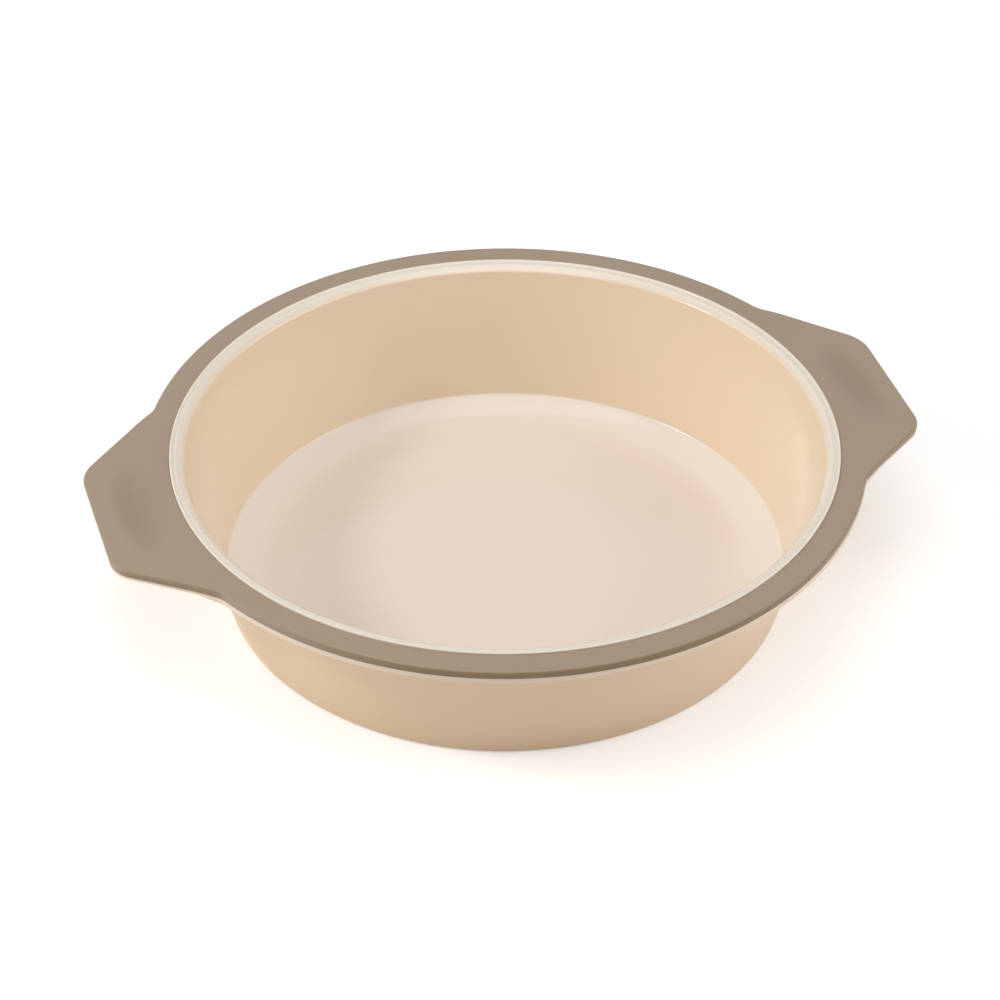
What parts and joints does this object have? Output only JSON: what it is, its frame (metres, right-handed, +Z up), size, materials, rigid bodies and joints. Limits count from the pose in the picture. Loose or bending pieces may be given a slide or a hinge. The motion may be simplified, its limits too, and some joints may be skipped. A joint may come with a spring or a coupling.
{
  "type": "cake pan",
  "caption": "Round silicone cake pan with a flat floor, a leaning wall, a stiffened flat rim and a broad drooping handle with a thumb scoop at each end.",
  "frame": {"origin": "centre of the flat base, on the surface that the pan stands on", "axes": "+Z up through the centre of the bowl, +X along the line through both handles"},
  "size_m": [0.2956, 0.257, 0.0586],
  "materials": {
    "body_silicone": "satin cream silicone",
    "rim_silicone": "matte taupe silicone",
    "frame_steel": "plain rolled sheet, moulded in"
  },
  "bodies": {
    "root": {"pan_body": "body_silicone", "rim_cover": "rim_silicone", "rim_frame": "frame_steel"}
  },
  "joints": []
}
